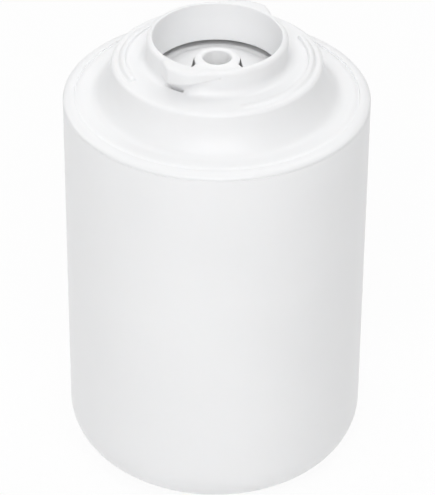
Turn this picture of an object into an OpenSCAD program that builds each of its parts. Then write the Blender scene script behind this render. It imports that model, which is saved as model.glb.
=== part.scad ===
// Faucet water filter cartridge with a bayonet neck.
// The origin is the centre of the flat base, +Z runs up the axis, and all sizes are in millimetres.
// Raw water enters the neck round the port cone, passes the stand-off ribs into the shell and flows
// inwards through the wrap and the carbon block. It leaves up the core tube and out of the port.

/* [Shell] */
// Outer diameter at the rim
shell_d = 70; // [66:0.5:76]
// Height of the joint between shell and cap
joint_z = 93.2; // [80:0.2:110]
// Wall thickness of the shell
shell_wall = 2.2; // [1.6:0.1:3]
// Radius of the corner between side and base
shell_corner_r = 10.5; // [8:0.5:14]
// Radius that the side loses from rim to corner so that it leaves the mould
shell_draft = 0.15; // [0:0.05:0.4]
// Height of the seat that carries the filter element
seat_z = 7; // [6:0.5:12]
// Number of ribs that carry and centre the element
seat_ribs = 6; // [4:1:8]
// Thickness of each seat rib
seat_rib_t = 1.6; // [1.2:0.1:2.5]

/* [Cap] */
// Wall thickness of the cap
cap_wall = 2.4; // [1.8:0.1:3]
// Height of the shoulder above the joint
flange_t = 1.3; // [1:0.1:2]
// Width of the domed edge round the shoulder
rim_w = 2.3; // [1.5:0.1:3]
// Outer diameter of the collar
collar_d = 48; // [46:0.5:50]
// Height of the collar deck above the shoulder
collar_h = 8.9; // [7:0.1:12]
// Width of the flare at the collar's foot
flare_w = 4; // [3:0.2:5]
// Radius of the flare's hollow curve
flare_r = 12; // [10:0.5:16]
// Rounding of the collar's upper edge
lip_r = 1; // [0.4:0.1:1.5]
// Width of the witness groove beside the domed edge
groove_w = 0.9; // [0.4:0.1:1.2]
// Height of the plug ring that enters the shell
plug_h = 5; // [3:0.5:8]
// Thickness of the plug ring
plug_t = 1.6; // [1.2:0.1:2]

/* [Neck] */
// Outer diameter of the neck
neck_d = 32; // [31:0.25:33]
// Wall thickness of the neck
neck_wall = 1.4; // [1.2:0.1:1.8]
// Height of the neck above the deck
neck_h = 6.1; // [5:0.1:8]
// Fillet at the foot of the neck
neck_fillet = 2; // [1:0.1:2.4]
// Outer rounding of the neck's top edge
neck_round = 1.1; // [0.5:0.1:1.2]
// Depth of the neck bore's lower edge below the deck
skirt_drop = 3.6; // [3:0.1:4.4]
// Thickness of the skirt below the deck
skirt_t = 1.8; // [1.4:0.1:2]

/* [Bayonet lugs] */
// Number of lugs
lug_count = 2; // [2:1:3]
// Azimuth at which the first lug starts, at its blunt end
lug_azimuth = 39.5; // [0:0.5:180]
// Angle that a lug sweeps
lug_sweep = 53.5; // [40:0.5:70]
// Angle over which the blunt end ramps out of the neck
lug_nose = 13.5; // [6:0.5:16]
// Reach of a lug beyond the neck
lug_reach = 2.1; // [1.5:0.1:2.6]
// Height of a lug at its blunt end
lug_h = 4; // [3:0.1:4.4]
// Height of a lug where it runs out into the neck
lug_end_h = 1.5; // [1.2:0.1:2]

/* [Cam ribs] */
// Radius of the middle of a cam rib's crest
cam_r = 21.1; // [20.5:0.1:21.5]
// Width of a cam rib's crest
cam_w = 0.8; // [0.6:0.1:1.2]
// Width of a cam rib's outer flank
cam_flank_w = 0.9; // [0.5:0.1:1]
// Height of a cam rib at its high end
cam_h = 1; // [0.6:0.1:1.5]
// Azimuth of the first rib's high end
cam_azimuth = 28; // [0:1:180]
// Angle that a cam rib sweeps
cam_sweep = 104; // [60:1:110]

/* [Port insert] */
// Diameter of the outlet port
port_d = 6.3; // [5:0.1:7]
// Height of the port rim above the deck
port_rise = 0.6; // [0:0.1:1]
// Width of the flat rim round the port
port_rim_w = 1.1; // [0.9:0.1:1.4]
// Rounding of the port's mouth
port_round = 0.5; // [0.2:0.1:0.8]
// Radius where the cone meets the brim
cone_foot_r = 13.4; // [12.5:0.1:14]
// Wall thickness of cone and brim
insert_wall = 1.6; // [1.2:0.1:2]
// Clear height of the ring-shaped inlet below the neck skirt
inlet_gap = 1.2; // [0.8:0.05:1.5]
// Clearance between the brim and the collar's inner wall
brim_clear = 1; // [0.6:0.1:1.6]
// Number of stand-off ribs on the brim
standoff_count = 6; // [4:1:10]
// Thickness of a stand-off rib
standoff_t = 1.4; // [1:0.1:2]
// Length of the port tube below the brim
port_tube_h = 5; // [4:0.5:8]
// Bore of the socket for the element's spigot
socket_d = 12.2; // [11:0.1:13]
// Wall of the socket
socket_wall = 1.9; // [1.4:0.1:2.4]
// Depth of the socket
socket_h = 11; // [9:0.5:14]

/* [Filter element] */
// Outer diameter of the carbon block
block_d = 51; // [44:0.5:52]
// Bore of the carbon block
block_bore_d = 16; // [14:0.5:18]
// Thickness of the fleece wrap
wrap_t = 1.2; // [0.8:0.1:1.6]
// Thickness of the net sleeve
net_t = 0.7; // [0.5:0.1:1]
// Plate thickness of the end caps
end_plate_t = 2; // [1.5:0.1:3]
// Depth that an end cap reaches over the element
end_skirt_h = 6; // [4:0.5:9]
// Thickness of the end caps' skirts
end_skirt_t = 1.4; // [1:0.1:2]
// Wall of the perforated core tube
core_wall = 1.2; // [0.8:0.1:1.6]
// Thickness of the inner fleece round the core tube
core_fleece_t = 0.5; // [0.3:0.1:0.8]
// Diameter of the holes in the core tube
core_hole_d = 3.4; // [2:0.1:4]
// Number of holes in each row round the core tube
core_holes = 6; // [4:1:7]
// Thickness of the O-ring cord
o_ring_t = 2; // [1.5:0.1:2.2]

/* [Hidden] */
$fn = 96;
eps = 0.01;

// Clearances between pieces that pass each other
plug_clear = 0.15;
fit_clear = 0.1;
seal_clear = 0.03;
fleece_clear = 0.05;

// Shell and cap
shell_r = shell_d / 2;
shell_foot_r = shell_r - shell_draft;
shell_bore_r = shell_r - shell_wall;
shoulder_z = joint_z + flange_t;
deck_z = shoulder_z + collar_h;
deck_under_z = deck_z - cap_wall;
neck_top_z = deck_z + neck_h;
skirt_z = deck_z - skirt_drop;
collar_r = collar_d / 2;
collar_bore_r = collar_r - cap_wall;
plug_r = shell_bore_r - plug_clear;
neck_r = neck_d / 2;
neck_bore_r = neck_r - neck_wall;
skirt_r = neck_bore_r + skirt_t;
joint_chamfer = 0.2;
cam_low_h = 0.2;
groove_r = shell_r - rim_w - 0.2;
groove_depth = 0.4 * groove_w;

// Circle of the flare, from the shoulder up to the rounded lip
flare_h = collar_h - lip_r;
flare_chord = norm([flare_w, flare_h]);
flare_sag = sqrt(pow(flare_r, 2) - pow(flare_chord / 2, 2));
flare_centre = [collar_r + flare_w / 2 + flare_sag * flare_h / flare_chord,
                shoulder_z + flare_h / 2 + flare_sag * flare_w / flare_chord];

// Port insert
port_r = port_d / 2;
port_rim_r = port_r + port_rim_w;
port_top_z = deck_z + port_rise;
brim_z = skirt_z - inlet_gap;
brim_r = collar_bore_r - brim_clear;
cone_slope = (port_top_z - brim_z) / (cone_foot_r - port_rim_r);
port_tube_r = port_rim_r + 0.6;
socket_r = socket_d / 2;
socket_outer_r = socket_r + socket_wall;
socket_top_z = brim_z - port_tube_h;
socket_bottom_z = socket_top_z - socket_h;

// Inlet openings beside the port, shaped like small fins
inlet_inner_r = port_tube_r + 0.3;
inlet_w = 1.1;
inlet_back_az = 7;
inlet_front_az = -23;

// Filter element, stacked between the seat ribs and the socket's lower edge
block_r = block_d / 2;
block_bore_r = block_bore_d / 2;
block_bottom_z = seat_z + end_plate_t;
block_top_z = socket_bottom_z - end_plate_t;
block_h = block_top_z - block_bottom_z;
wrap_r = block_r + wrap_t;
net_r = wrap_r + net_t;
end_bore_r = net_r + fit_clear;
end_r = end_bore_r + end_skirt_t;
core_r = block_bore_r - core_fleece_t - fleece_clear;
core_bore_r = core_r - core_wall;
core_plug_r = core_bore_r - fit_clear;
core_plug_h = 5;

// Spigot and its two O-rings
spigot_r = socket_r - fit_clear;
spigot_bore_r = port_r;
spigot_h = socket_h - 1;
o_ring_r = socket_r - seal_clear - o_ring_t / 2;
o_groove_r = o_ring_r - o_ring_t / 2;
o_groove_w = o_ring_t + 2 * fit_clear;
o_ring_heights = [for (share = [0.38, 0.72]) socket_bottom_z + share * spigot_h];

// Rounding tool for an outer corner at the top right of a profile
module round_corner(corner, r)
{
    translate([corner[0] - r, corner[1] - r])
        difference()
        {
            square(r + 1);
            circle(r);
        }
}

// Fillet that fills the inner corner at the lower left of a profile
module fill_corner(corner, r)
{
    translate(corner)
        difference()
        {
            translate([-eps, -eps])
                square(r + eps);
            translate([r, r])
                circle(r);
        }
}

// Copies of the children turned round the axis
module around(count, start = 0)
{
    for (i = [0 : count - 1])
        rotate([0, 0, start + i * 360 / count])
            children();
}

// Solid through a row of cross-sections, each a loop of as many points
module sweep(sections)
{
    k = len(sections[0]);
    last = len(sections) - 1;
    points = [for (section = sections) each section];
    sides = [for (i = [0 : last - 1], j = [0 : k - 1])
        let (a = i * k + j, b = i * k + (j + 1) % k, c = b + k, d = a + k)
        each [[a, b, c], [a, c, d]]];
    start = [for (j = [k - 1 : -1 : 0]) j];
    end = [for (j = [0 : k - 1]) last * k + j];
    polyhedron(points = points, faces = concat(sides, [start, end]), convexity = 4);
}

// Places a radius and a height at an azimuth
function at_azimuth(profile, az) = [for (p = profile) [p[0] * cos(az), p[0] * sin(az), p[1]]];

// Smooth run from 0 to 1 while x goes from a to b
function ease(x, a, b) =
    let (t = min(1, max(0, (x - a) / (b - a))))
    t * t * (3 - 2 * t);

// Outline of the shell's side and base, drawn inwards by an offset
module shell_outline(inset)
{
    corner = shell_corner_r - inset;
    foot_r = shell_foot_r - inset;
    difference()
    {
        polygon([[0, inset], [foot_r, inset], [foot_r, shell_corner_r],
                 [shell_r - inset, joint_z + inset], [0, joint_z + inset]]);
        translate([foot_r - corner, shell_corner_r])
            mirror([0, 1])
                difference()
                {
                    square(corner + 1);
                    circle(corner);
                }
    }
}

// One rib in the shell's floor: a low shelf under the element and a raised step that centres it
module seat_rib()
{
    step_r = end_r + 3 * fit_clear;
    rotate([90, 0, 0])
        translate([0, 0, -seat_rib_t / 2])
            linear_extrude(seat_rib_t)
                intersection()
                {
                    shell_outline(shell_wall - 0.3);
                    polygon([[block_bore_r, shell_wall - eps], [block_bore_r, seat_z], [step_r, seat_z],
                             [step_r, seat_z + end_skirt_h - 1], [step_r + 1, seat_z + end_skirt_h],
                             [shell_r, seat_z + end_skirt_h], [shell_r, 0], [block_bore_r, 0]]);
                }
}

module shell()
{
    color("white")
        union()
        {
            rotate_extrude()
                difference()
                {
                    shell_outline(0);
                    shell_outline(shell_wall);
                    translate([0, joint_z])
                        square([shell_d, 3 * shell_wall]);
                    translate([shell_r - joint_chamfer, joint_z])
                        rotate(-45)
                            square(2 * joint_chamfer);
                }
            around(seat_ribs)
                seat_rib();
        }
}

// Cuts the flange edge down to a dome whose section is a quarter of an ellipse
module rim_dome()
{
    dome_h = flange_t - joint_chamfer;
    low_z = shoulder_z - dome_h;
    arc = [for (a = [0 : 9 : 90]) [shell_r - rim_w + rim_w * cos(a), low_z + dome_h * sin(a)]];
    high_z = shoulder_z + 1;
    polygon(concat([[shell_r + 1, low_z]], arc, [[shell_r - rim_w, high_z], [shell_r + 1, high_z]]));
}

// Box from its lower left corner, less a circle round the flare's centre
module flare(corner, size, r)
{
    difference()
    {
        translate(corner)
            square(size);
        translate(flare_centre)
            circle(r);
    }
}

// Half section of the cap's outer form
module cap_outer()
{
    difference()
    {
        union()
        {
            translate([0, joint_z])
                square([shell_r, flange_t]);
            translate([0, joint_z])
                square([collar_r, deck_z - joint_z]);
            translate([0, joint_z])
                square([neck_r, neck_top_z - joint_z]);
            translate([0, joint_z - plug_h])
                square([plug_r, plug_h + eps]);
            flare([collar_r - eps, shoulder_z - eps], [flare_w + eps, flare_h + eps], flare_r);
            fill_corner([neck_r, deck_z], neck_fillet);
        }
        rim_dome();
        round_corner([collar_r, deck_z], lip_r);
        round_corner([neck_r, neck_top_z], neck_round);
        translate([shell_r - joint_chamfer, joint_z])
            rotate(-45)
                square(2 * joint_chamfer);
        polygon([[groove_r, shoulder_z + eps], [groove_r - 0.1, shoulder_z - groove_depth],
                 [groove_r - groove_w, shoulder_z + eps]]);
    }
}

// Half section of the space inside the cap
module cap_hollow()
{
    under_z = shoulder_z - cap_wall;
    floor_z = joint_z - plug_h - 1;
    translate([0, floor_z])
        square([neck_bore_r, neck_top_z - floor_z + 1]);
    translate([0, floor_z])
        square([plug_r - plug_t, under_z - floor_z]);
    translate([0, floor_z])
        square([collar_bore_r, skirt_z - floor_z]);
    translate([skirt_r, floor_z])
        square([collar_bore_r - skirt_r, deck_under_z - floor_z]);
    flare([collar_bore_r - eps, under_z - eps], [flare_w + cap_wall, deck_under_z - under_z + eps],
          flare_r + cap_wall);
}

// Section of a lug, given the angle run from its start
function lug_section(turn) =
    let (nose = min(1, turn / lug_nose),
         reach = lug_reach * nose * (1 - ease(turn, 0.45 * lug_sweep, lug_sweep)),
         climb = max(0, turn - lug_nose) / (lug_sweep - lug_nose),
         outer = neck_r - 0.1 + reach,
         inner = neck_r - neck_wall / 2,
         top = neck_top_z - 0.15,
         bottom = top - lug_h + (lug_h - lug_end_h) * climb,
         corner = min(0.35, (outer - inner) / 3),
         round = min(0.9, (outer - inner) / 2))
    concat([[inner, bottom], [outer - corner, bottom], [outer, bottom + corner]],
           [for (a = [0 : 30 : 90]) [outer - round + round * cos(a), top - round + round * sin(a)]],
           [[inner, top]]);

module lug()
{
    nose_turns = [for (share = [0 : 0.2 : 0.8]) share * lug_nose];
    turns = concat(nose_turns, [for (turn = [lug_nose : 2 : lug_sweep]) turn]);
    sweep([for (turn = turns) at_azimuth(lug_section(turn), turn)]);
}

// Space under a lug's blunt end, where the foot of the neck has no fillet
module lug_relief()
{
    rotate([0, 0, 0.6 * lug_nose])
        rotate_extrude(angle = 0.3 * lug_sweep)
            translate([neck_r, deck_z])
                square([neck_fillet + 1, neck_h - lug_h]);
}

// Section of a cam rib, given the angle run from its low end: its outer flank is the wider one
function cam_section(turn) =
    let (half = cam_w / 2,
         run = (cam_sweep - turn) * PI / 180 * cam_r,
         nose = run >= cam_w ? 1 : sqrt(max(0.06, 1 - pow(1 - run / cam_w, 2))),
         height = (cam_low_h + (cam_h - cam_low_h) * turn / cam_sweep) * nose,
         inner = cam_r - half - 0.25 * height,
         outer = cam_r + half + cam_flank_w * nose,
         foot = deck_z - 0.5,
         top = deck_z + height)
    [[inner, foot], [outer, foot], [outer, deck_z],
     [cam_r + half + cam_flank_w * nose / 3, deck_z + 0.75 * height],
     [cam_r + half / 2, top], [cam_r - half / 2, top],
     [cam_r - half, deck_z + 0.8 * height], [inner, deck_z]];

// Low rib on the deck that climbs along a helix and ends in a rounded nose
module cam_rib()
{
    nose_turns = [1.6, 1.0, 0.5, 0.2, 0];
    turns = concat([for (turn = [0 : 4 : cam_sweep - 4]) turn], [for (t = nose_turns) cam_sweep - t]);
    sweep([for (turn = turns) at_azimuth(cam_section(turn), turn)]);
}

module cap()
{
    color("white")
        union()
        {
            difference()
            {
                rotate_extrude()
                    difference()
                    {
                        cap_outer();
                        cap_hollow();
                    }
                around(lug_count, lug_azimuth)
                    lug_relief();
            }
            around(lug_count, lug_azimuth)
                lug();
            around(2, cam_azimuth - cam_sweep)
                cam_rib();
        }
}

// Half section of the port insert: port tube, cone, brim and socket
module insert_profile()
{
    under_slope = cone_slope * insert_wall;
    tube_top_z = port_top_z - insert_wall - (port_tube_r - port_rim_r) * cone_slope;
    difference()
    {
        polygon([[port_r, port_top_z], [port_rim_r, port_top_z], [cone_foot_r, brim_z],
                 [brim_r, brim_z], [brim_r, brim_z - insert_wall],
                 [cone_foot_r - under_slope, brim_z - insert_wall], [port_tube_r, tube_top_z],
                 [port_tube_r, socket_top_z + socket_wall + socket_outer_r - port_tube_r],
                 [socket_outer_r, socket_top_z + socket_wall], [socket_outer_r, socket_bottom_z],
                 [socket_r, socket_bottom_z], [socket_r, socket_top_z], [port_r, socket_top_z]]);
        translate([2 * port_r, 0])
            mirror([1, 0])
                round_corner([port_r, port_top_z], port_round);
    }
}

// Plan of one inlet opening, a fin that widens towards the front
module inlet_fin()
{
    azimuths = [for (i = [0 : 4]) inlet_back_az + (inlet_front_az - inlet_back_az) * i / 4];
    inner = [for (az = azimuths) inlet_inner_r * [cos(az), sin(az)]];
    outer_r = inlet_inner_r + inlet_w;
    polygon(concat(inner, [outer_r * [cos(inlet_front_az), sin(inlet_front_az)]]));
}

module port_insert()
{
    color("whitesmoke")
        difference()
        {
            union()
            {
                rotate_extrude()
                    insert_profile();
                around(standoff_count)
                    translate([skirt_r + 2 * fit_clear, -standoff_t / 2, brim_z - eps])
                        cube([brim_r - skirt_r - 4 * fit_clear, standoff_t, deck_under_z - brim_z + eps]);
            }
            for (side = [0, 1])
                mirror([side, 0, 0])
                    translate([0, 0, brim_z])
                        linear_extrude(collar_h)
                            inlet_fin();
        }
}

// Plate and skirt shared by both end caps, with its plate on the ground
module end_cup()
{
    difference()
    {
        cylinder(r = end_r, h = end_plate_t + end_skirt_h);
        translate([0, 0, end_plate_t])
            cylinder(r = end_bore_r, h = end_skirt_h + 1);
    }
}

module lower_end_cap()
{
    color("gainsboro")
        translate([0, 0, seat_z])
            union()
            {
                end_cup();
                translate([0, 0, end_plate_t - eps])
                    cylinder(r = core_plug_r, h = core_plug_h);
            }
}

module upper_end_cap()
{
    color("gainsboro")
        difference()
        {
            union()
            {
                translate([0, 0, socket_bottom_z])
                    mirror([0, 0, 1])
                        end_cup();
                translate([0, 0, block_top_z - core_plug_h])
                    cylinder(r = core_plug_r, h = core_plug_h + eps);
                translate([0, 0, socket_bottom_z - eps])
                    cylinder(r = spigot_r, h = spigot_h);
            }
            translate([0, 0, block_top_z - core_plug_h - 1])
                cylinder(r = spigot_bore_r, h = spigot_h + core_plug_h + end_plate_t + 2);
            for (z = o_ring_heights)
                translate([0, 0, z - o_groove_w / 2])
                    difference()
                    {
                        cylinder(r = spigot_r + 1, h = o_groove_w);
                        translate([0, 0, -1])
                            cylinder(r = o_groove_r, h = o_groove_w + 2);
                    }
        }
}

// Tube that stands between the two end plates
module element_tube(outer_r, bore_r)
{
    translate([0, 0, block_bottom_z])
        difference()
        {
            cylinder(r = outer_r, h = block_h);
            translate([0, 0, -1])
                cylinder(r = bore_r, h = block_h + 2);
        }
}

module carbon_block()
{
    color("dimgray")
        element_tube(block_r, block_bore_r);
}

module prefilter_wrap()
{
    color("ivory")
        element_tube(wrap_r, block_r);
}

// Extruded net with staggered diamond openings
module net_sleeve()
{
    columns = 16;
    rows = 7;
    strand = 1.6;
    pitch_z = (block_h - 2 * end_skirt_h) / (rows + 1);
    pitch_a = PI * 2 * net_r / columns;
    half_w = (pitch_a - strand) / 2;
    half_h = pitch_z - strand;
    color("white")
        difference()
        {
            element_tube(net_r, wrap_r);
            for (row = [1 : rows])
                translate([0, 0, block_bottom_z + end_skirt_h + row * pitch_z])
                    around(columns, (row % 2) * 180 / columns)
                        translate([wrap_r - 1, 0, 0])
                            rotate([90, 0, 90])
                                linear_extrude(net_t + 2)
                                    polygon([[-half_w, 0], [0, -half_h], [half_w, 0], [0, half_h]]);
        }
}

// Tube that carries the block's bore, with staggered rows of drain holes
module core_tube()
{
    row_pitch = 2.2 * core_hole_d;
    first_z = block_bottom_z + core_plug_h + core_hole_d;
    last_z = block_top_z - core_plug_h - core_hole_d;
    rows = floor((last_z - first_z) / row_pitch);
    color("whitesmoke")
        difference()
        {
            element_tube(core_r, core_bore_r);
            for (row = [0 : rows])
                translate([0, 0, first_z + row * (last_z - first_z) / rows])
                    around(core_holes, (row % 2) * 180 / core_holes)
                        translate([core_bore_r - 1, 0, 0])
                            rotate([0, 90, 0])
                                cylinder(d = core_hole_d, h = core_wall + 2);
        }
}

module core_fleece()
{
    color("ivory")
        element_tube(block_bore_r, block_bore_r - core_fleece_t);
}

module spigot_o_rings()
{
    color("black")
        for (z = o_ring_heights)
            translate([0, 0, z])
                rotate_extrude()
                    translate([o_ring_r, 0])
                        circle(d = o_ring_t);
}

shell();
cap();
port_insert();
upper_end_cap();
lower_end_cap();
carbon_block();
prefilter_wrap();
net_sleeve();
core_tube();
core_fleece();
spigot_o_rings();
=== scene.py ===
# %% [markdown]
# A faucet water filter cartridge stands alone on a white table. Nearly all of it is white moulded
# plastic, so its look comes from clean turned forms, small roundings at every edge and soft light.
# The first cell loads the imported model. Its solids are the frame: they give every place and size,
# and each piece made below either stands for one of them or gives it a finish.

from math import asin, cos, degrees, pi, radians, sin, sqrt

import bmesh
import bpy
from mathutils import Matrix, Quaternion, Vector


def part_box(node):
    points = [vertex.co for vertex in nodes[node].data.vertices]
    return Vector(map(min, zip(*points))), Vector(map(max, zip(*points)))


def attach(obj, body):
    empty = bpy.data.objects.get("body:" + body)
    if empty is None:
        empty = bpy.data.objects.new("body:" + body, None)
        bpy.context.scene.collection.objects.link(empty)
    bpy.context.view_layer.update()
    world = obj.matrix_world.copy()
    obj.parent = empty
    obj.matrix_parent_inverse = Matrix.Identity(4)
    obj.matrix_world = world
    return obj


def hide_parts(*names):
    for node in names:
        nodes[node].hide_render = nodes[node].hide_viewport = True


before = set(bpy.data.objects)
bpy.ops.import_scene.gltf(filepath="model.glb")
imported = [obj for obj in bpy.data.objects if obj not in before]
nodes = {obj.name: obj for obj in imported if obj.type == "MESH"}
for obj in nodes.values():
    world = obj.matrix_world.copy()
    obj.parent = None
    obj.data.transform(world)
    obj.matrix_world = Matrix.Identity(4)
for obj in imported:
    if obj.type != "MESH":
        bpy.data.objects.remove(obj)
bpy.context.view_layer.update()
MM = 0.001
print("nodes:", ", ".join(sorted(nodes)))

# %% [markdown]
# The main sizes come from the frame, so the pieces fit the solids. What a box can't tell, such as a
# rounding or a wall, is a named size in millimetres. Everything is turned round the Z axis, and a
# profile is a list of points, each a radius and a height.

# %% Sizes of the housing in millimetres
shell_low, shell_high = (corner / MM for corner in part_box("shell"))
cap_low, cap_high = (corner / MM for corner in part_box("cap"))
insert_low, insert_high = (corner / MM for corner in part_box("port_insert"))

shell_r = shell_high.x
joint_z = shell_high.z
neck_top_z = cap_high.z
port_top_z = insert_high.z
brim_r = insert_high.x

shell_wall = 2.2
shell_draft = 0.15
shell_corner_r = 10.5
joint_round = 0.2
print(f"shell radius {shell_r:.2f}, joint at {joint_z:.2f}, neck top at {neck_top_z:.2f}")

# %% [markdown]
# Round corners are arcs of a few points. An arc takes its centre, its radius and two angles, with
# zero pointing away from the axis and a right angle pointing up.

# %% Arcs for profiles
def arc(centre, radius, start, end, steps=8):
    """Points of an arc in a profile, from the angle start to the angle end in degrees."""
    turns = [start + (end - start) * i / steps for i in range(steps + 1)]
    return [(centre[0] + radius * cos(radians(t)), centre[1] + radius * sin(radians(t))) for t in turns]


def stretch(a, b, steps):
    """Points between a and b, without either of them."""
    return [(a[0] + (b[0] - a[0]) * i / steps, a[1] + (b[1] - a[1]) * i / steps) for i in range(1, steps)]


# %% [markdown]
# White moulded plastic is never quite flat. It has a soft gloss, a trace of light inside its
# surface, a faint texture from the mould and slow changes of gloss where it cooled. Noise on
# Object coordinates gives both at their real scale, in metres.

# %% White plastic
def new_material(name):
    """A material with an empty node tree, its Principled shader and its output."""
    material = bpy.data.materials.new(name)
    material.use_nodes = True
    tree = material.node_tree
    tree.nodes.clear()
    output = tree.nodes.new("ShaderNodeOutputMaterial")
    shader = tree.nodes.new("ShaderNodeBsdfPrincipled")
    tree.links.new(shader.outputs["BSDF"], output.inputs["Surface"])
    return material, tree, shader


def add_noise(tree, scale, detail=3.0, roughness=0.5):
    """A noise texture on Object coordinates, with its scale in waves per metre."""
    place = tree.nodes.new("ShaderNodeTexCoord")
    noise = tree.nodes.new("ShaderNodeTexNoise")
    noise.inputs["Scale"].default_value = scale
    noise.inputs["Detail"].default_value = detail
    noise.inputs["Roughness"].default_value = roughness
    tree.links.new(place.outputs["Object"], noise.inputs["Vector"])
    return noise


def add_range(tree, source, low, high):
    """Spreads a value between 0.3 and 0.7 over the range from low to high."""
    node = tree.nodes.new("ShaderNodeMapRange")
    node.inputs["From Min"].default_value = 0.3
    node.inputs["From Max"].default_value = 0.7
    node.inputs["To Min"].default_value = low
    node.inputs["To Max"].default_value = high
    tree.links.new(source, node.inputs["Value"])
    return node.outputs["Result"]


def add_bump(tree, shader, height, distance, strength=1.0):
    """Bump of a real depth in metres."""
    bump = tree.nodes.new("ShaderNodeBump")
    bump.inputs["Distance"].default_value = distance
    bump.inputs["Strength"].default_value = strength
    tree.links.new(height, bump.inputs["Height"])
    tree.links.new(bump.outputs["Normal"], shader.inputs["Normal"])


def mix_colours(tree, factor, low, high):
    """A colour between low and high, by a factor from 0 to 1."""
    mix = tree.nodes.new("ShaderNodeMix")
    mix.data_type = "RGBA"
    mix.inputs["A"].default_value = (*low, 1.0)
    mix.inputs["B"].default_value = (*high, 1.0)
    tree.links.new(factor, mix.inputs["Factor"])
    return mix.outputs["Result"]


def white_plastic(name, low, high, gloss_low, gloss_high):
    """Semi-gloss white plastic: two close whites, two close roughnesses and a fine mould texture."""
    material, tree, shader = new_material(name)
    slow = add_noise(tree, 35.0, detail=2.0)
    fine = add_noise(tree, 2600.0, detail=2.0, roughness=0.6)
    colour = mix_colours(tree, add_range(tree, slow.outputs["Fac"], 0.0, 1.0), low, high)
    tree.links.new(colour, shader.inputs["Base Color"])
    gloss = add_range(tree, slow.outputs["Fac"], gloss_low, gloss_high)
    tree.links.new(gloss, shader.inputs["Roughness"])
    shader.inputs["IOR"].default_value = 1.49
    shader.inputs["Subsurface Weight"].default_value = 0.15
    shader.inputs["Subsurface Radius"].default_value = (1.0, 0.95, 0.9)
    shader.inputs["Subsurface Scale"].default_value = 0.0012
    add_bump(tree, shader, fine.outputs["Fac"], 0.000008)
    return material


shell_white = white_plastic("shell_white", (0.895, 0.898, 0.905), (0.915, 0.918, 0.925), 0.30, 0.36)
cap_white = white_plastic("cap_white", (0.895, 0.898, 0.905), (0.915, 0.918, 0.925), 0.28, 0.34)
# The insert's white is a shade lighter than the shell's and the cap's. This is painted light: it stands
# in for light that reaches the cone deep in the neck.
insert_white_painted_light = white_plastic("insert_white_painted_light", (0.925, 0.927, 0.932), (0.945, 0.947, 0.950), 0.32, 0.38)
print("plastics:", shell_white.name, cap_white.name, insert_white_painted_light.name)

# %% [markdown]
# The shell is a turned form, so its shape follows one rule: a half section carried round the axis.
# A Geometry Nodes tree does that. It lays out a grid, turns its columns round the axis, and reads
# the radius and height of each row from the profile's own points. Merging by distance then closes
# the seam and the pole. A last step keeps edges sharp where two faces meet at a steep angle.

# %% A lathe made of Geometry Nodes
def node_tree(name, inputs):
    """An empty geometry tree with a geometry input and output and the named inputs."""
    tree = bpy.data.node_groups.new(name, "GeometryNodeTree")
    tree.interface.new_socket("Geometry", in_out="INPUT", socket_type="NodeSocketGeometry")
    for label, kind, value in inputs:
        socket = tree.interface.new_socket(label, in_out="INPUT", socket_type=kind)
        if value is not None:
            socket.default_value = value
    tree.interface.new_socket("Geometry", in_out="OUTPUT", socket_type="NodeSocketGeometry")
    return tree, tree.nodes.new("NodeGroupInput"), tree.nodes.new("NodeGroupOutput")


def math_node(tree, operation, *values):
    """A Math node whose inputs are numbers or links."""
    node = tree.nodes.new("ShaderNodeMath")
    node.operation = operation
    for slot, value in enumerate(values):
        if isinstance(value, (int, float)):
            node.inputs[slot].default_value = value
        else:
            tree.links.new(value, node.inputs[slot])
    return node.outputs[0]


def add_sharp_edges(tree, mesh, limit):
    """Smooth faces, with the edges left sharp where the faces turn by more than the limit."""
    smooth = tree.nodes.new("GeometryNodeSetShadeSmooth")
    angle = tree.nodes.new("GeometryNodeInputMeshEdgeAngle")
    sharp = tree.nodes.new("GeometryNodeSetShadeSmooth")
    sharp.domain = "EDGE"
    sharp.inputs["Shade Smooth"].default_value = False
    tree.links.new(mesh, smooth.inputs["Geometry"])
    tree.links.new(smooth.outputs["Geometry"], sharp.inputs["Geometry"])
    steep = math_node(tree, "GREATER_THAN", angle.outputs["Unsigned Angle"], limit)
    tree.links.new(steep, sharp.inputs["Selection"])
    return sharp.outputs["Geometry"]


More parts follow.
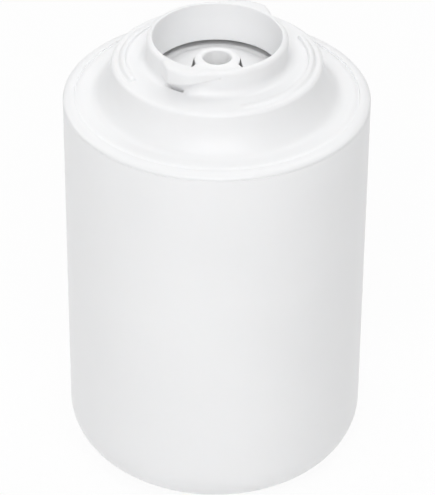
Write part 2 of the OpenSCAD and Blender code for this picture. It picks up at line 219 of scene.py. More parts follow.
def make_lathe():
    """Turns the input's points, in their order, round the Z axis."""
    tree, given, result = node_tree("Lathe", [
        ("Columns", "NodeSocketInt", 256),
        ("Sharp angle", "NodeSocketFloat", 0.6),
        ("Finish", "NodeSocketMaterial", None),
    ])
    size = tree.nodes.new("GeometryNodeAttributeDomainSize")
    tree.links.new(given.outputs["Geometry"], size.inputs["Geometry"])
    rows = size.outputs["Point Count"]

    grid = tree.nodes.new("GeometryNodeMeshGrid")
    across = math_node(tree, "ADD", given.outputs["Columns"], 1)
    tree.links.new(across, grid.inputs["Vertices X"])
    tree.links.new(rows, grid.inputs["Vertices Y"])

    index = tree.nodes.new("GeometryNodeInputIndex")
    column = math_node(tree, "FLOOR", math_node(tree, "DIVIDE", index.outputs[0], rows))
    row = math_node(tree, "MODULO", index.outputs[0], rows)
    share = math_node(tree, "DIVIDE", column, given.outputs["Columns"])
    turn = math_node(tree, "MULTIPLY", share, 2 * pi)

    where = tree.nodes.new("GeometryNodeInputPosition")
    sample = tree.nodes.new("GeometryNodeSampleIndex")
    sample.data_type = "FLOAT_VECTOR"
    tree.links.new(given.outputs["Geometry"], sample.inputs["Geometry"])
    tree.links.new(where.outputs["Position"], sample.inputs["Value"])
    tree.links.new(row, sample.inputs["Index"])
    split = tree.nodes.new("ShaderNodeSeparateXYZ")
    tree.links.new(sample.outputs["Value"], split.inputs["Vector"])

    join = tree.nodes.new("ShaderNodeCombineXYZ")
    x = math_node(tree, "MULTIPLY", split.outputs["X"], math_node(tree, "COSINE", turn))
    y = math_node(tree, "MULTIPLY", split.outputs["X"], math_node(tree, "SINE", turn))
    tree.links.new(x, join.inputs["X"])
    tree.links.new(y, join.inputs["Y"])
    tree.links.new(split.outputs["Z"], join.inputs["Z"])

    place = tree.nodes.new("GeometryNodeSetPosition")
    tree.links.new(grid.outputs["Mesh"], place.inputs["Geometry"])
    tree.links.new(join.outputs["Vector"], place.inputs["Position"])
    merge = tree.nodes.new("GeometryNodeMergeByDistance")
    merge.inputs["Distance"].default_value = 1e-6
    tree.links.new(place.outputs["Geometry"], merge.inputs["Geometry"])

    edged = add_sharp_edges(tree, merge.outputs["Geometry"], given.outputs["Sharp angle"])
    whole = tree.nodes.new("GeometryNodeRealizeInstances")
    finish = tree.nodes.new("GeometryNodeSetMaterial")
    tree.links.new(edged, whole.inputs["Geometry"])
    tree.links.new(whole.outputs["Geometry"], finish.inputs["Geometry"])
    tree.links.new(given.outputs["Finish"], finish.inputs["Material"])
    tree.links.new(finish.outputs["Geometry"], result.inputs["Geometry"])
    return tree


lathe = make_lathe()
print("lathe inputs:", [item.name for item in lathe.interface.items_tree])

# %% [markdown]
# A tree is used through a modifier, and each input is set by its identifier. The result is then
# turned into a plain mesh, so that nothing is left to evaluate when the piece is exported. Faces
# have to point outwards, and the signed volume of the mesh tells whether they do. Points that fall
# together, as those of a lug do where there is no lug, are merged first.

# %% From a tree to a plain mesh
merge_distance = 0.001 * MM


def mesh_object(name, points, faces=(), edges=()):
    """A new object whose mesh has its place in its points, given in millimetres."""
    mesh = bpy.data.meshes.new(name)
    mesh.from_pydata([tuple(c * MM for c in p) for p in points], edges, faces)
    piece = bpy.data.objects.new(name, mesh)
    bpy.context.scene.collection.objects.link(piece)
    return piece


def face_outwards(piece):
    """Merges points that coincide, turns the mesh the right way out, and prints its volume."""
    shape = bmesh.new()
    shape.from_mesh(piece.data)
    bmesh.ops.remove_doubles(shape, verts=shape.verts, dist=merge_distance)
    volume = shape.calc_volume(signed=True)
    if volume < 0:
        bmesh.ops.reverse_faces(shape, faces=shape.faces)
    shape.to_mesh(piece.data)
    open_edges = sum(1 for edge in shape.edges if not edge.is_manifold)
    print(f"{piece.name}: {len(shape.faces)} faces, {abs(volume) * 1e6:.2f} ml, {open_edges} open edges")
    shape.free()
    return piece


def run_tree(piece, tree, **values):
    """Evaluates a tree on the piece and keeps the result as the piece's own mesh."""
    modifier = piece.modifiers.new("tree", "NODES")
    modifier.node_group = tree
    sockets = {item.name: item.identifier for item in tree.interface.items_tree if item.in_out == "INPUT"}
    for label, value in values.items():
        modifier[sockets[label.replace("_", " ")]] = value
    shaped = piece.evaluated_get(bpy.context.evaluated_depsgraph_get())
    mesh = bpy.data.meshes.new_from_object(shaped)
    piece.modifiers.remove(modifier)
    old = piece.data
    piece.data = mesh
    bpy.data.meshes.remove(old)
    return piece


def turned(name, profile, finish, columns=256):
    """A solid of revolution from a profile of radii and heights."""
    points = [(r, 0.0, z) for r, z in profile]
    edges = [(i, i + 1) for i in range(len(points) - 1)]
    piece = mesh_object(name, points, edges=edges)
    return face_outwards(run_tree(piece, lathe, Columns=columns, Finish=finish))


# %% [markdown]
# The shell is a cup with a large round corner at its foot. Its profile starts on the axis below
# the base, runs up the outside, crosses the rim with two small roundings and comes down inside.
# The small roundings matter: with the cap's own they draw the fine joint line round the housing.

# %% Shell
def shell_profile():
    """Outer and inner line of the cup, from pole to pole."""
    foot_r = shell_r - shell_draft
    corner = shell_corner_r
    inner_foot_r = foot_r - shell_wall
    inner_corner = corner - shell_wall
    bore_r = shell_r - shell_wall
    outside = arc((foot_r - corner, corner), corner, -90, 0, 20)
    rim_out = arc((shell_r - joint_round, joint_z - joint_round), joint_round, 0, 90, 3)
    rim_in = arc((bore_r + joint_round, joint_z - joint_round), joint_round, 90, 180, 3)
    inside = arc((inner_foot_r - inner_corner, corner), inner_corner, 0, -90, 14)
    side = stretch(outside[-1], rim_out[0], 8)
    floor = (0.0, shell_wall)
    return [(0.0, 0.0), *outside, *side, *rim_out, *rim_in, *inside, floor]


shell = turned("shell_housing", shell_profile(), shell_white, columns=288)

# %% [markdown]
# The filter element stands on six radial ribs in the shell's floor, and they are all the same. A
# second tree makes such rings: it puts copies of one piece on points at the axis, each turned a
# step further, and realizes them into one mesh. It serves the seat ribs here and the stand-off
# ribs of the port insert later.

# %% A ring of copies made of Geometry Nodes
def make_ring():
    """Copies of the input, spread evenly round the Z axis."""
    tree, given, result = node_tree("Ring of copies", [
        ("Count", "NodeSocketInt", 6),
        ("First angle", "NodeSocketFloat", 0.0),
        ("Finish", "NodeSocketMaterial", None),
    ])
    line = tree.nodes.new("GeometryNodeMeshLine")
    line.mode = "OFFSET"
    line.inputs["Offset"].default_value = (0.0, 0.0, 0.0)
    tree.links.new(given.outputs["Count"], line.inputs["Count"])

    index = tree.nodes.new("GeometryNodeInputIndex")
    share = math_node(tree, "DIVIDE", index.outputs[0], given.outputs["Count"])
    step = math_node(tree, "MULTIPLY", share, 2 * pi)
    turn = math_node(tree, "ADD", step, given.outputs["First angle"])
    spin = tree.nodes.new("ShaderNodeCombineXYZ")
    tree.links.new(turn, spin.inputs["Z"])

    copies = tree.nodes.new("GeometryNodeInstanceOnPoints")
    tree.links.new(line.outputs["Mesh"], copies.inputs["Points"])
    tree.links.new(given.outputs["Geometry"], copies.inputs["Instance"])
    tree.links.new(spin.outputs["Vector"], copies.inputs["Rotation"])
    whole = tree.nodes.new("GeometryNodeRealizeInstances")
    finish = tree.nodes.new("GeometryNodeSetMaterial")
    tree.links.new(copies.outputs["Instances"], whole.inputs["Geometry"])
    tree.links.new(whole.outputs["Geometry"], finish.inputs["Geometry"])
    tree.links.new(given.outputs["Finish"], finish.inputs["Material"])
    tree.links.new(finish.outputs["Geometry"], result.inputs["Geometry"])
    return tree


ring = make_ring()


def slab(name, outline, thickness):
    """A flat plate in the XZ plane, from an outline of radii and heights."""
    count = len(outline)
    half = thickness / 2
    points = [(r, -half, z) for r, z in outline] + [(r, half, z) for r, z in outline]
    faces = [tuple(range(count)), tuple(range(2 * count - 1, count - 1, -1))]
    faces += [(i, (i + 1) % count, count + (i + 1) % count, count + i) for i in range(count)]
    piece = mesh_object(name, points, faces)
    shape = bmesh.new()
    shape.from_mesh(piece.data)
    bmesh.ops.recalc_face_normals(shape, faces=shape.faces)
    shape.to_mesh(piece.data)
    shape.free()
    return piece


# %% Seat ribs in the shell's floor
seat_count = 6
seat_rib_t = 1.6
end_cap_low, end_cap_high = (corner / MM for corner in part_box("lower_end_cap"))
seat_z = end_cap_low.z
seat_step_r = end_cap_high.x + 0.3
seat_step_z = seat_z + 6.0
wall_r = shell_r - shell_draft - shell_wall + 0.3
inner_curve = arc((wall_r - 8.6, shell_corner_r), 8.6, -90, 0, 8)
seat_outline = [(8.0, shell_wall - 0.2), (8.0, seat_z), (seat_step_r, seat_z),
                (seat_step_r, seat_step_z - 1.0), (seat_step_r + 1.0, seat_step_z),
                (wall_r, seat_step_z), *reversed(inner_curve)]
seat_rib = slab("seat_ribs", seat_outline, seat_rib_t)
seat_ribs = run_tree(seat_rib, ring, Count=seat_count, Finish=shell_white)
face_outwards(seat_ribs)

# %% [markdown]
# The cap is one moulding, and the piece that takes the most care. Its section changes round the
# axis: two bayonet lugs ramp out of the neck, and two cam ribs rise from the deck. So its profile
# is a function of the azimuth, always with the same number of points. Where there is no lug the
# lug's points lie flat on the neck, and the surface runs from one state to the other unbroken.

# %% Sizes of the cap in millimetres
cap_wall = 2.4
flange_t = 1.3
rim_w = 2.3
collar_r = 24.0
collar_h = 8.9
flare_w = 4.0
flare_r = 12.0
flare_blend_r = 3.0
lip_r = 1.0
groove_r = shell_r - rim_w - 0.2
groove_w = 0.9
groove_depth = 0.4 * groove_w
plug_h = 5.0
plug_t = 1.6
plug_r = shell_r - shell_wall - 0.15
shoulder_z = joint_z + flange_t
deck_z = shoulder_z + collar_h

neck_r = 16.0
neck_bore_r = 14.6
neck_fillet = 2.0
neck_round = 1.1
neck_inner_round = 0.25
skirt_z = deck_z - 3.6
skirt_r = neck_bore_r + 1.8

lug_angles = (39.5, 219.5)
lug_sweep = 53.5
lug_nose = 13.5
lug_reach = 2.1
lug_h = 4.0
lug_end_h = 1.5

pit_w = 0.55
pit_h = 0.75
pit_depth = 1.75
pit_inner_r = 15.1
pit_turns = (7.0, 11.5, 21.5, 23.5)

cam_angles = (28.0, 208.0)
cam_sweep = 104.0
cam_r = 21.1
cam_w = 0.8
cam_flank_w = 0.9
cam_h = 1.0
cam_low_h = 0.2
print(f"shoulder at {shoulder_z:.1f}, deck at {deck_z:.1f}, neck {neck_top_z - deck_z:.1f} high")

# %% [markdown]
# Small functions say how the section changes round the axis. A lug ramps out of the neck over its
# nose and eases back into it at its thin end, while its underside climbs. Below its blunt end the
# foot of the neck has almost no fillet, and a narrow pit runs in along the corner, so it stays
# dark. A cam rib is highest next to its rounded nose and sinks to a low step at its other end.

# %% How the lugs and the cam ribs vary round the axis
def ease(x, a, b):
    """Runs smoothly from 0 to 1 while x goes from a to b."""
    t = min(1.0, max(0.0, (x - a) / (b - a)))
    return t * t * (3 - 2 * t)


def turn_from(start, azimuth):
    """Angle run from start to the azimuth, from 0 to 360."""
    return (azimuth - start) % 360.0


def lug_at(azimuth):
    """Reach of a lug beyond the neck and height of its underside."""
    turn = min(turn_from(start, azimuth) for start in lug_angles)
    blunt_z, thin_z = neck_top_z - lug_h, neck_top_z - lug_end_h
    if turn <= lug_sweep:
        reach = lug_reach * min(1.0, turn / lug_nose) * (1 - ease(turn, 0.45 * lug_sweep, lug_sweep))
        climb = max(0.0, turn - lug_nose) / (lug_sweep - lug_nose)
        return reach, blunt_z + (thin_z - blunt_z) * climb
    back = ease(turn, lug_sweep, 360.0 / len(lug_angles))
    return 0.0, thin_z + (blunt_z - thin_z) * back


def fillet_at(azimuth):
    """Fillet at the foot of the neck, small below the blunt end of a lug."""
    turn = min(turn_from(start, azimuth) for start in lug_angles)
    relief = ease(turn, 6.0, 9.0) * (1 - ease(turn, 21.0, 30.0))
    return neck_fillet + (0.3 - neck_fillet) * relief


def pit_at(azimuth):
    """Share of the full pit below the blunt end of a lug: it opens slowly and ends short."""
    turn = min(turn_from(start, azimuth) for start in lug_angles)
    return ease(turn, *pit_turns[:2]) * (1 - ease(turn, *pit_turns[2:]))


def cam_at(azimuth):
    """Height of a cam rib, and the share of its full section that its nose leaves."""
    left = min(turn_from(azimuth, high) for high in cam_angles)
    if left > cam_sweep:
        return 0.0, 1.0
    share = min(1.0, radians(left) * cam_r / cam_w)
    nose = sqrt(1 - (1 - share) ** 2)
    fade = min(1.0, (cam_sweep - left) / 4.0)
    return (cam_low_h + (cam_h - cam_low_h) * (1 - left / cam_sweep)) * nose * fade, nose


# %% [markdown]
# The profile runs round the whole section as one closed loop: up the plug ring, out under the
# flange, over the domed rim, the groove, the shoulder, the flare, the lip, the deck with the cam
# rib, the neck with the lug, down the bore and back under the deck. The flare is an arc through two
# points, and a small arc blends its foot into the shoulder.

# %% Section of the cap at an azimuth
half_chord = sqrt(flare_w ** 2 + (collar_h - lip_r) ** 2) / 2
flare_sag = sqrt(flare_r ** 2 - half_chord ** 2)
flare_x = collar_r + flare_w / 2 + flare_sag * (collar_h - lip_r) / (2 * half_chord)
flare_z = shoulder_z + (collar_h - lip_r) / 2 + flare_sag * flare_w / (2 * half_chord)


def flare_turn(z, radius):
    """Angle at which an arc round the flare's centre, on its axis side, has the height z."""
    return 180.0 + degrees(asin((flare_z - z) / radius))


def flare_points():
    """From the shoulder up the flare to the lip, starting with the blend."""
    blend_z = shoulder_z + flare_blend_r
    between = flare_r - flare_blend_r
    turn = flare_turn(blend_z, between)
    blend_x = flare_x + between * cos(radians(turn))
    blend = arc((blend_x, blend_z), flare_blend_r, 270, turn, 5)
    return blend + arc((flare_x, flare_z), flare_r, turn, flare_turn(deck_z - lip_r, flare_r), 14)[1:]


def cam_points(azimuth):
    """Deck across the cam rib: a wide outer flank, a round crest and a steep inner flank."""
    height, nose = cam_at(azimuth)
    half = cam_w / 2
    flank_w = cam_flank_w * nose
    outer = ((1.0, 0.0), (0.86, 0.07), (0.68, 0.3), (0.48, 0.58), (0.28, 0.82), (0.1, 0.94))
    crest = ((0.45, 1.0), (-0.45, 1.0), (-0.85, 0.93))
    inner = ((0.05, 0.75), (0.12, 0.4), (0.2, 0.1), (0.35, 0.0))
    return [*((cam_r + 0.9 * half + share * flank_w, deck_z + height * up) for share, up in outer),
            *((cam_r + share * half, deck_z + height * up) for share, up in crest),
            *((cam_r - half - share * height, deck_z + height * up) for share, up in inner)]


def foot_points(azimuth):
    """Foot of the neck: its fillet, or the pit that runs down and inwards from the same corner."""
    fillet, share = fillet_at(azimuth), pit_at(azimuth)
    plain = arc((neck_r + fillet, deck_z + fillet), fillet, -90, -180, 9)
    floor_z = deck_z - pit_depth
    outer = ((neck_r + pit_w, deck_z), (pit_inner_r + 0.4, floor_z))
    inner = ((pit_inner_r, floor_z + 0.2), (neck_r, deck_z + pit_h))
    pit = [point for a, b in (outer, inner) for point in (a, *stretch(a, b, 4), b)]
    return [tuple(a + share * (b - a) for a, b in zip(near, far)) for near, far in zip(plain, pit)]


def lug_points(azimuth):
    """Neck from its foot over the lug to the top of the neck."""
    reach, under_z = lug_at(azimuth)
    low_round = min(0.35, reach / 3)
    root = min(0.3, reach / 4)
    top_round = neck_round - 0.2 * min(1.0, reach)
    outer = neck_r + reach
    wall = stretch(foot_points(azimuth)[-1], (neck_r, under_z - root), 5)
    hollow = arc((neck_r + root, under_z - root), root, 180, 90, 3)
    under = stretch(hollow[-1], (outer - low_round, under_z), 4)
    low = arc((outer - low_round, under_z + low_round), low_round, -90, 0, 4)
    face = stretch(low[-1], (outer, neck_top_z - top_round), 4)
    high = arc((outer - top_round, neck_top_z - top_round), top_round, 0, 90, 7)
    top_end = (neck_bore_r + neck_inner_round, neck_top_z)
    over = stretch(high[-1], top_end, 3)
    return [*wall, *hollow, *under, *low, *face, *high, *over]


def rim_points():
    """Flange edge with its domed top, then the groove on its inner side."""
    low_z = joint_z + joint_round
    dome_h = flange_t - joint_round
    flange_low = arc((shell_r - joint_round, low_z), joint_round, -90, 0, 3)
    turns = [9 * i for i in range(1, 11)]
    dome = [(shell_r - rim_w + rim_w * cos(radians(t)), low_z + dome_h * sin(radians(t))) for t in turns]
    groove_low = (groove_r - 0.1, shoulder_z - groove_depth)
    groove_end = (groove_r - groove_w, shoulder_z)
    return [*flange_low, *dome, (groove_r, shoulder_z), groove_low,
            *stretch(groove_low, groove_end, 3), groove_end]


def cap_outside(azimuth):
    """From the plug ring's lower edge over the outside to the top of the neck."""
    rim = rim_points()
    flare = flare_points()
    lip = arc((collar_r - lip_r, deck_z - lip_r), lip_r, 8, 90, 7)
    foot = foot_points(azimuth)
    cam = cam_points(azimuth)
    return [(plug_r, joint_z), *rim, *stretch(rim[-1], flare[0], 3), *flare, *lip,
            *stretch(lip[-1], cam[0], 2), *cam, *stretch(cam[-1], foot[0], 3), *foot,
            *lug_points(azimuth)]


def cap_inside():
    """From the top of the neck down the bore and back under the deck and the shoulder."""
    under_deck_z = deck_z - cap_wall
    under_z = shoulder_z - cap_wall
    plug_bore_r = plug_r - plug_t
    mouth = arc((neck_bore_r + neck_inner_round, neck_top_z - neck_inner_round),
                neck_inner_round, 90, 180, 4)
    bore_end = arc((neck_bore_r + 0.2, skirt_z + 0.2), 0.2, 180, 270, 3)
    skirt = [(skirt_r, skirt_z), (skirt_r, under_deck_z)]
    inner_r = flare_r + cap_wall
    hollow = arc((flare_x, flare_z), inner_r, flare_turn(under_deck_z, inner_r),
                 flare_turn(under_z, inner_r), 12)
    plug = [(plug_bore_r, under_z), (plug_bore_r, joint_z - plug_h), (plug_r, joint_z - plug_h)]
    return [*mouth, *stretch(mouth[-1], bore_end[0], 4), *bore_end, *skirt,
            *hollow, *plug]


def cap_section(azimuth):
    """The whole closed section."""
    return cap_outside(azimuth) + cap_inside()


print("points in the cap's section:", len(cap_section(0.0)))

# %% [markdown]
# The columns stand closer where the section changes fast, at both ends of a lug's ramp and at the
# noses of the cam ribs. Joining neighbouring columns and rows with four-sided faces gives a closed ring.

# %% Cap
def cap_azimuths():
    """Azimuths of the columns: even steps, and fine steps at the blunt ends."""
    even = {round(1.25 * i, 3) for i in range(288)}
    ramp_ends = (-0.3, 0.0, 0.3, lug_nose - 0.3, lug_nose, lug_nose + 0.3, 21.6, 22.0, 22.4, 22.8,
                 23.2, 23.6)
    nose_steps = (-0.4, 0.0, 0.03, 0.1, 0.2, 0.35, 0.55, 0.8, 1.1, 1.5, 2.1, 2.8)
    lug_steps = {round((start + step) % 360, 3) for start in lug_angles for step in ramp_ends}
    cam_steps = {round((high - step) % 360, 3) for high in cam_angles for step in nose_steps}
    kept = lug_steps | cam_steps
    spaced = {a for a in even if all(abs((a - k + 180) % 360 - 180) > 0.2 for k in kept)}
    return sorted(spaced | kept)


def closed_ring(name, sections, azimuths, finish):
    """A ring-shaped mesh through closed sections at the azimuths."""
    count = len(sections[0])
    points = []
    for section, azimuth in zip(sections, azimuths):
        points += [(r * cos(radians(azimuth)), r * sin(radians(azimuth)), z) for r, z in section]
    faces = []
    for i in range(len(sections)):
        following = (i + 1) % len(sections)
        for j in range(count):
            k = (j + 1) % count
            faces.append((i * count + j, following * count + j, following * count + k, i * count + k))
    piece = mesh_object(name, points, faces)
    piece.data.materials.append(finish)
    return piece


def smooth_faces(piece, limit):
    """Smooth shading, with edges sharper than the limit in degrees left sharp."""
    piece.data.shade_smooth()
    piece.data.set_sharp_from_angle(angle=radians(limit))
    return piece


azimuths = cap_azimuths()
cap = closed_ring("cap_moulding", [cap_section(a) for a in azimuths], azimuths, cap_white)
smooth_faces(face_outwards(cap), 38)
print("columns in the cap:", len(azimuths))

# %% [markdown]
# The port insert sits deep in the neck. It is a shallow cone with the outlet port in its middle,
# a brim that steps down and runs on below the neck, and a tube that goes down to the filter element.
# Because of the step the ring-shaped gap under the neck stays dark. The insert is turned on the same
# lathe, and the two fin-shaped openings beside the port are cut out of it.

# %% Port insert
port_r = 3.15
port_rim_r = port_r + 1.1
port_round = 0.5
insert_wall = 1.6
cone_foot_r = 13.4
inlet_gap = 1.2
brim_z = skirt_z - inlet_gap
brim_step = 0.6
cone_slope = (port_top_z - brim_z) / (cone_foot_r - port_rim_r)
port_tube_r = port_rim_r + 0.6
socket_r = 6.1
socket_outer_r = socket_r + 1.9
socket_top_z = brim_z - 5.0
socket_bottom_z = insert_low.z


def insert_profile():
    """Closed half section of the insert, starting and ending at the port's mouth."""
    mouth = arc((port_r + port_round, port_top_z - port_round), port_round, 180, 90, 6)
    rim_edge = (port_rim_r, port_top_z)
    cone_foot = (cone_foot_r, brim_z)
    tube_top = (port_tube_r, port_top_z - insert_wall - (port_tube_r - port_rim_r) * cone_slope)
    socket_head_z = socket_top_z + 1.9
    low_z = brim_z - brim_step
    brim_edge = arc((brim_r - 0.3, low_z - 0.3), 0.3, 90, 0, 3)
    step = [(cone_foot_r + 1.4, brim_z), (cone_foot_r + 2.0, low_z)]
    return [*mouth, rim_edge, *stretch(rim_edge, cone_foot, 12), cone_foot, *step,
            *stretch(step[-1], brim_edge[0], 3), *brim_edge,
            (brim_r, brim_z - insert_wall),
            (cone_foot_r - cone_slope * insert_wall, brim_z - insert_wall), tube_top,
            (port_tube_r, socket_head_z + socket_outer_r - port_tube_r),
            (socket_outer_r, socket_head_z),
            (socket_outer_r, socket_bottom_z), (socket_r, socket_bottom_z), (socket_r, socket_top_z),
            (port_r, socket_top_z), *stretch((port_r, socket_top_z), mouth[0], 4), mouth[0]]


insert = turned("port_cone", insert_profile(), insert_white_painted_light, columns=240)

# %% [markdown]
# An opening is cut with a Boolean modifier and a cutter that has the opening's plan, narrow at the
# back and wider at the front. The cutter widens downwards, as a mould's core pin does, so that
# from above little more than the dark below shows.

# %% Fin-shaped inlet openings
inlet_inner_r = port_tube_r + 0.3
inlet_w = 1.1
inlet_back, inlet_front = 7.0, -23.0


def inlet_cutter(side):
    """Prism with the plan of one opening, on the side +1 or -1 of the axis."""
    turns = [inlet_back + (inlet_front - inlet_back) * i / 8 for i in range(9)]
    plan = [(side * inlet_inner_r * cos(radians(t)), inlet_inner_r * sin(radians(t))) for t in turns]
    tip_r = inlet_inner_r + inlet_w
    plan.append((side * tip_r * cos(radians(inlet_front)), tip_r * sin(radians(inlet_front))))
    count = len(plan)
    low_z, high_z = brim_z - 0.5, port_top_z + 1.0
    middle_x, middle_y = (sum(values) / count for values in zip(*plan))
    wide = [(middle_x + 1.7 * (x - middle_x), middle_y + 1.7 * (y - middle_y)) for x, y in plan]
    points = [(x, y, low_z) for x, y in wide] + [(x, y, high_z) for x, y in plan]
    faces = [tuple(range(count)), tuple(range(2 * count - 1, count - 1, -1))]
    faces += [(i, (i + 1) % count, count + (i + 1) % count, count + i) for i in range(count)]
    cutter = mesh_object(f"inlet_cutter_{side}", points, faces)
    shape = bmesh.new()
    shape.from_mesh(cutter.data)
    bmesh.ops.recalc_face_normals(shape, faces=shape.faces)
    shape.to_mesh(cutter.data)
    shape.free()
    return cutter


def cut(piece, cutter):
    """Takes the cutter's form out of the piece and removes the cutter."""
    modifier = piece.modifiers.new("cut", "BOOLEAN")
    modifier.operation = "DIFFERENCE"
    modifier.solver = "EXACT"
    modifier.object = cutter
    shaped = piece.evaluated_get(bpy.context.evaluated_depsgraph_get())
    mesh = bpy.data.meshes.new_from_object(shaped)
    piece.modifiers.remove(modifier)
    piece.data = mesh
    bpy.data.objects.remove(cutter)


for side in (1, -1):
    cut(insert, inlet_cutter(side))
smooth_faces(face_outwards(insert), 32)

# %% [markdown]
# Six stand-off ribs on the brim hold the insert a little below the deck, so that water can pass.
# They stand far enough out to stay hidden from above, but they are what carries the cone.

# %% Stand-off ribs
standoff_t = 1.4
standoff_low_z = brim_z - brim_step - 0.1
standoff_r = skirt_r + 1.5
standoff_outline = [(standoff_r, standoff_low_z), (brim_r - 0.2, standoff_low_z),
                    (brim_r - 0.2, deck_z - cap_wall), (standoff_r, deck_z - cap_wall)]
standoff = slab("standoff_ribs", standoff_outline, standoff_t)
standoffs = face_outwards(run_tree(standoff, ring, Count=6, Finish=insert_white_painted_light))

# %% [markdown]
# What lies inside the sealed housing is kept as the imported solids. Each gets the finish of its
# real material, because the pieces can be looked at one by one: natural plastic for the end caps
# and the core tube, porous black carbon, matted fleece, soft black rubber.

# %% Finishes of the inner pieces
def natural_plastic(name, tone):
    """Unpigmented plastic: milky, with more light inside it than the housing."""
    material, tree, shader = new_material(name)
    slow = add_noise(tree, 60.0, detail=2.0)
    low = tuple(channel * 0.96 for channel in tone)
    colour = mix_colours(tree, add_range(tree, slow.outputs["Fac"], 0.0, 1.0), low, tone)
    tree.links.new(colour, shader.inputs["Base Color"])
    tree.links.new(add_range(tree, slow.outputs["Fac"], 0.38, 0.46), shader.inputs["Roughness"])
    shader.inputs["Subsurface Weight"].default_value = 0.3
    shader.inputs["Subsurface Radius"].default_value = (1.0, 0.97, 0.92)
    shader.inputs["Subsurface Scale"].default_value = 0.002
    return material


def porous_carbon(name):
    """Sintered carbon grains: nearly black, rough and pitted."""
    material, tree, shader = new_material(name)
    grain = add_noise(tree, 1400.0, detail=5.0, roughness=0.7)
    colour = mix_colours(tree, add_range(tree, grain.outputs["Fac"], 0.0, 1.0),
                         (0.008, 0.008, 0.009), (0.045, 0.045, 0.048))
    tree.links.new(colour, shader.inputs["Base Color"])
    shader.inputs["Roughness"].default_value = 0.9
    add_bump(tree, shader, grain.outputs["Fac"], 0.0003)
    return material


def fleece(name):
    """Non-woven fibres: a stretched noise gives matted threads."""
    material, tree, shader = new_material(name)
    fibres = add_noise(tree, 900.0, detail=6.0, roughness=0.75)
    fibres.inputs["Distortion"].default_value = 2.5
    colour = mix_colours(tree, add_range(tree, fibres.outputs["Fac"], 0.0, 1.0),
                         (0.72, 0.71, 0.68), (0.88, 0.87, 0.84))
    tree.links.new(colour, shader.inputs["Base Color"])
    shader.inputs["Roughness"].default_value = 0.95
    shader.inputs["Sheen Weight"].default_value = 0.3
    add_bump(tree, shader, fibres.outputs["Fac"], 0.0002)
    return material


def seal_rubber(name):
    """Black rubber with a dusty bloom."""
    material, tree, shader = new_material(name)
    bloom = add_noise(tree, 700.0, detail=3.0)
    colour = mix_colours(tree, add_range(tree, bloom.outputs["Fac"], 0.0, 1.0),
                         (0.012, 0.012, 0.013), (0.028, 0.028, 0.030))
    tree.links.new(colour, shader.inputs["Base Color"])
    tree.links.new(add_range(tree, bloom.outputs["Fac"], 0.45, 0.6), shader.inputs["Roughness"])
    return material


inner_finishes = {
    "upper_end_cap": natural_plastic("end_cap_plastic", (0.80, 0.80, 0.79)),
    "lower_end_cap": natural_plastic("lower_end_cap_plastic", (0.80, 0.80, 0.79)),
    "core_tube": natural_plastic("core_tube_plastic", (0.82, 0.82, 0.81)),
    "net_sleeve": natural_plastic("net_plastic", (0.84, 0.85, 0.85)),
    "carbon_block": porous_carbon("carbon_grains"),
    "prefilter_wrap": fleece("wrap_fleece"),
    "core_fleece": fleece("inner_fleece"),
    "spigot_o_rings": seal_rubber("o_ring_rubber"),
}
for name, finish in inner_finishes.items():
    node = nodes[name]
    node.data.materials.clear()
    node.data.materials.append(finish)
print("finished inner pieces:", len(inner_finishes))

# %% [markdown]
# Every new piece rides on the imported body, and the solids that a piece stands for are hidden.

# %% Tie the pieces to the frame
pieces = [
    (shell, "shell_plastic", ["shell"]),
    (seat_ribs, "shell_plastic", []),
    (cap, "cap_plastic", ["cap"]),
    (insert, "insert_plastic", ["port_insert"]),
    (standoffs, "insert_plastic", []),
]
for piece, slot_name, stands_for in pieces:
    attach(piece, "root")
    if stands_for:
        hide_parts(*stands_for)
print("pieces:", ", ".join(piece.name for piece, _, _ in pieces))

# %% [markdown]
# The camera stands in front of the cartridge and looks down on it by about 35 degrees, from 0.7 m
# with a long lens. It leans by half a degree, as the photograph's does.

# %% Camera
image_w, image_h = 435, 495
focal_px = 3000.0
camera_distance = 0.70945
camera_elevation = radians(34.81)
aim_z = 0.0455
lean = radians(0.455)
centre_shift_px = (-1.99, 22.31)

camera_data = bpy.data.cameras.new("camera")
camera_data.sensor_width = 36.0
camera_data.lens = camera_data.sensor_width * focal_px / image_h
camera_data.shift_x = -centre_shift_px[0] / image_h
camera_data.shift_y = centre_shift_px[1] / image_h
camera_data.clip_start = 0.05
camera_data.clip_end = 20.0
camera = bpy.data.objects.new("camera", camera_data)
bpy.context.scene.collection.objects.link(camera)
camera.location = (0.0, -camera_distance * cos(camera_elevation),
                   aim_z + camera_distance * sin(camera_elevation))
upright = Vector((0.0, cos(camera_elevation), -sin(camera_elevation))).to_track_quat("-Z", "Y")
view_axis = Vector((0.0, 0.0, 1.0))
camera.rotation_mode = "QUATERNION"
camera.rotation_quaternion = upright @ Quaternion(view_axis, lean)
bpy.context.scene.camera = camera
print(f"lens {camera_data.lens:.1f} mm, camera at {tuple(round(c, 3) for c in camera.location)}")

# %% [markdown]
# The table is white paper. To the camera, and in reflections, it is as white as the background, and
# only a faint part of it takes the object's shadow. To all other light it is an ordinary pale
# surface, so it throws a soft light up at the housing.

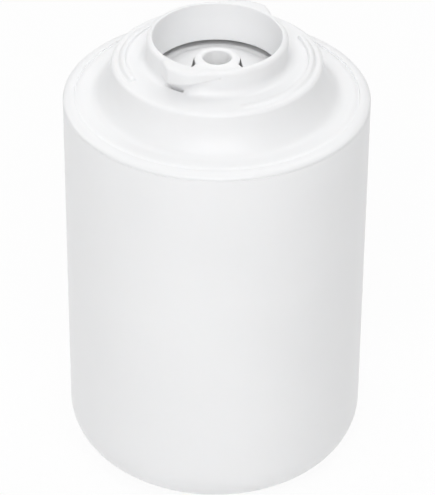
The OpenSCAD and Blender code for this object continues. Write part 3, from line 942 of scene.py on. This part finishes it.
# %% Table and background
def paper_white(name, shadow_share):
    """A diffuse white that the camera sees mixed with plain white."""
    material = bpy.data.materials.new(name)
    material.use_nodes = True
    tree = material.node_tree
    tree.nodes.clear()
    output = tree.nodes.new("ShaderNodeOutputMaterial")
    paper = tree.nodes.new("ShaderNodeBsdfDiffuse")
    paper.inputs["Color"].default_value = (0.96, 0.96, 0.96, 1.0)
    glow = tree.nodes.new("ShaderNodeEmission")
    glow.inputs["Color"].default_value = (1.0, 1.0, 1.0, 1.0)
    glow.inputs["Strength"].default_value = 1.0
    rays = tree.nodes.new("ShaderNodeLightPath")
    seen = math_node(tree, "MAXIMUM", rays.outputs["Is Camera Ray"], rays.outputs["Is Glossy Ray"])
    seen = math_node(tree, "MAXIMUM", seen, rays.outputs["Is Transmission Ray"])
    seen = math_node(tree, "MULTIPLY", seen, 1.0 - shadow_share)
    mix = tree.nodes.new("ShaderNodeMixShader")
    tree.links.new(seen, mix.inputs["Fac"])
    tree.links.new(paper.outputs["BSDF"], mix.inputs[1])
    tree.links.new(glow.outputs["Emission"], mix.inputs[2])
    tree.links.new(mix.outputs["Shader"], output.inputs["Surface"])
    return material


table_half = 1500.0
table = mesh_object("table", [(-table_half, -table_half, 0), (table_half, -table_half, 0),
                              (table_half, table_half, 0), (-table_half, table_half, 0)],
                    [(0, 1, 2, 3)])
table.data.materials.append(paper_white("table_paper", 0.08))

# %% [markdown]
# The world gives an even fill from all sides. Seen directly, in a reflection or through something,
# it is plain white.

# %% World light
world = bpy.data.worlds.new("studio")
bpy.context.scene.world = world
world.use_nodes = True
sky = world.node_tree
sky.nodes.clear()
sky_output = sky.nodes.new("ShaderNodeOutputWorld")
background = sky.nodes.new("ShaderNodeBackground")
ray = sky.nodes.new("ShaderNodeLightPath")
fill_strength = 0.23
seen_white = math_node(sky, "MAXIMUM", ray.outputs["Is Camera Ray"], ray.outputs["Is Glossy Ray"])
seen_white = math_node(sky, "MAXIMUM", seen_white, ray.outputs["Is Transmission Ray"])
strength = math_node(sky, "MULTIPLY_ADD", seen_white, 1.0 - fill_strength, fill_strength)
background.inputs["Color"].default_value = (1.0, 1.0, 1.0, 1.0)
sky.links.new(strength, background.inputs["Strength"])
sky.links.new(background.outputs["Background"], sky_output.inputs["Surface"])

# %% [markdown]
# Soft boxes do the rest, as in a light tent that is open at its sides. Two large ones in front and
# above light the housing, and one at the front left leaves its right side the darkest part. The
# boxes behind light the back of the rim, the flare and the neck, and draw fine bright lines there.

# %% Soft boxes
def soft_box(name, place, aim, size, power):
    """A square area lamp that looks at a point."""
    data = bpy.data.lights.new(name, "AREA")
    data.shape = "SQUARE"
    data.size = size
    data.energy = power
    lamp = bpy.data.objects.new(name, data)
    bpy.context.scene.collection.objects.link(lamp)
    lamp.location = place
    lamp.rotation_mode = "QUATERNION"
    lamp.rotation_quaternion = (Vector(aim) - Vector(place)).to_track_quat("-Z", "Y")
    return lamp


middle = (0.0, 0.0, 0.07)
soft_box("box_high", (0.0, -0.8, 1.1), middle, 1.2, 8.4)
soft_box("box_middle", (0.0, -1.2, 0.75), middle, 1.0, 2.95)
soft_box("box_front_left", (-0.9, -0.9, 0.6), middle, 1.0, 1.5)
soft_box("box_back", (0.0, 1.1, 0.9), middle, 1.0, 1.3)
soft_box("box_back_left", (-0.6, 0.5, 1.2), middle, 0.6, 1.5)
soft_box("box_back_right", (0.6, 0.5, 1.2), middle, 0.6, 2.4)
soft_box("box_low_left", (-0.9, 0.7, 0.7), middle, 0.7, 1.75)
soft_box("box_low_right", (0.9, 0.7, 0.7), middle, 0.7, 0.8)
soft_box("box_top", (0.0, 0.35, 1.0), middle, 0.3, 0.5)

# %% [markdown]
# The picture is shown as it is calculated, with no film look.

# %% Finish
bpy.context.scene.view_settings.view_transform = "Standard"
